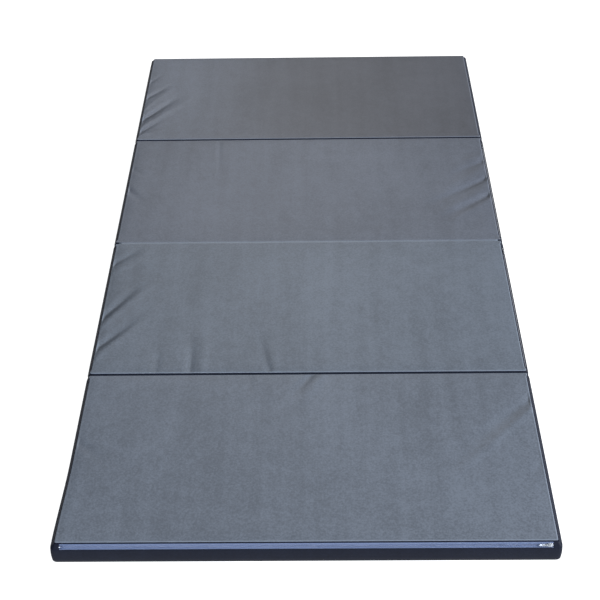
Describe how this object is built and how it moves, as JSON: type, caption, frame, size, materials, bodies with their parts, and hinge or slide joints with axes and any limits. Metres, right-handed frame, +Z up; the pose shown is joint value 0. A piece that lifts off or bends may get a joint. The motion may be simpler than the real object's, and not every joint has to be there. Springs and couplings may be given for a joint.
{
  "type": "folding gym mat",
  "caption": "Padded exercise mat of foam panels in zipped vinyl covers, joined by fold strips alternately at floor and top so that it folds up accordion style.",
  "frame": {"origin": "on the floor under the middle of the mat lying open", "axes": "+Z up, +Y along the mat across its folds from panel 1 to panel 4, +X to the right"},
  "size_m": [1.219, 2.438, 0.0635],
  "materials": {
    "vinyl": "satin",
    "foam": "matte",
    "tape": "matte",
    "coil": "satin",
    "zip_metal": "satin"
  },
  "bodies": {
    "panel_1": {"foam_core_1": "foam", "top_skin_1": "vinyl", "bottom_skin_1": "vinyl", "front_wall_1": "vinyl", "rear_wall_1": "vinyl", "left_wall_1": "vinyl", "right_wall_1": "vinyl", "zip_upper_tape_1": "tape", "zip_lower_tape_1": "tape", "zip_coil_1": "coil", "zip_top_stop_1": "zip_metal", "zip_bottom_stop_1": "zip_metal"},
    "panel_2": {"foam_core_2": "foam", "top_skin_2": "vinyl", "bottom_skin_2": "vinyl", "front_wall_2": "vinyl", "rear_wall_2": "vinyl", "left_wall_2": "vinyl", "right_wall_2": "vinyl", "zip_upper_tape_2": "tape", "zip_lower_tape_2": "tape", "zip_coil_2": "coil", "zip_top_stop_2": "zip_metal", "zip_bottom_stop_2": "zip_metal", "fold_strip_1_2": "vinyl"},
    "panel_3": {"foam_core_3": "foam", "top_skin_3": "vinyl", "bottom_skin_3": "vinyl", "front_wall_3": "vinyl", "rear_wall_3": "vinyl", "left_wall_3": "vinyl", "right_wall_3": "vinyl", "zip_upper_tape_3": "tape", "zip_lower_tape_3": "tape", "zip_coil_3": "coil", "zip_top_stop_3": "zip_metal", "zip_bottom_stop_3": "zip_metal", "fold_strip_2_3": "vinyl", "fold_strip_3_4": "vinyl"},
    "panel_4": {"foam_core_4": "foam", "top_skin_4": "vinyl", "bottom_skin_4": "vinyl", "front_wall_4": "vinyl", "rear_wall_4": "vinyl", "left_wall_4": "vinyl", "right_wall_4": "vinyl", "zip_upper_tape_4": "tape", "zip_lower_tape_4": "tape", "zip_coil_4": "coil", "zip_top_stop_4": "zip_metal", "zip_bottom_stop_4": "zip_metal"},
    "slider_1": {"zip_slider_1": "zip_metal"},
    "pull_1": {"zip_pull_1": "zip_metal"},
    "slider_2": {"zip_slider_2": "zip_metal"},
    "pull_2": {"zip_pull_2": "zip_metal"},
    "slider_3": {"zip_slider_3": "zip_metal"},
    "pull_3": {"zip_pull_3": "zip_metal"},
    "slider_4": {"zip_slider_4": "zip_metal"},
    "pull_4": {"zip_pull_4": "zip_metal"}
  },
  "joints": [
    {"name": "fold_2_3", "type": "hinge", "parent": "panel_3", "child": "panel_2", "pos_m": [0, 0, 0.0655], "axis": [-1, 0, 0], "range_deg": [0, 180], "deforming": ["fold_strip_2_3"]},
    {"name": "fold_1_2", "type": "hinge", "parent": "panel_2", "child": "panel_1", "pos_m": [0, -0.61075, -0.002], "axis": [1, 0, 0], "range_deg": [0, 180], "deforming": ["fold_strip_1_2"]},
    {"name": "fold_3_4", "type": "hinge", "parent": "panel_3", "child": "panel_4", "pos_m": [0, 0.61075, -0.002], "axis": [-1, 0, 0], "range_deg": [0, 180], "deforming": ["fold_strip_3_4"]},
    {"name": "zip_slide_1", "type": "slide", "parent": "panel_1", "child": "slider_1", "axis": [-1, 0, 0], "range_m": [0, 1.155]},
    {"name": "pull_hinge_1", "type": "hinge", "parent": "slider_1", "child": "pull_1", "pos_m": [0.5775, -1.21624, 0.05474], "axis": [0, 0.7071, 0.7071], "range_deg": [0, 180]},
    {"name": "zip_slide_2", "type": "slide", "parent": "panel_2", "child": "slider_2", "axis": [0, -1, 0], "range_m": [0, 0.52975]},
    {"name": "pull_hinge_2", "type": "hinge", "parent": "slider_2", "child": "pull_2", "pos_m": [0.60674, -0.0405, 0.05474], "axis": [-0.7071, 0, 0.7071], "range_deg": [0, 180]},
    {"name": "zip_slide_3", "type": "slide", "parent": "panel_3", "child": "slider_3", "axis": [0, -1, 0], "range_m": [0, 0.52975]},
    {"name": "pull_hinge_3", "type": "hinge", "parent": "slider_3", "child": "pull_3", "pos_m": [0.60674, 0.57025, 0.05474], "axis": [-0.7071, 0, 0.7071], "range_deg": [0, 180]},
    {"name": "zip_slide_4", "type": "slide", "parent": "panel_4", "child": "slider_4", "axis": [1, 0, 0], "range_m": [0, 1.155]},
    {"name": "pull_hinge_4", "type": "hinge", "parent": "slider_4", "child": "pull_4", "pos_m": [-0.5775, 1.21624, 0.05474], "axis": [0, -0.7071, 0.7071], "range_deg": [0, 180]}
  ]
}
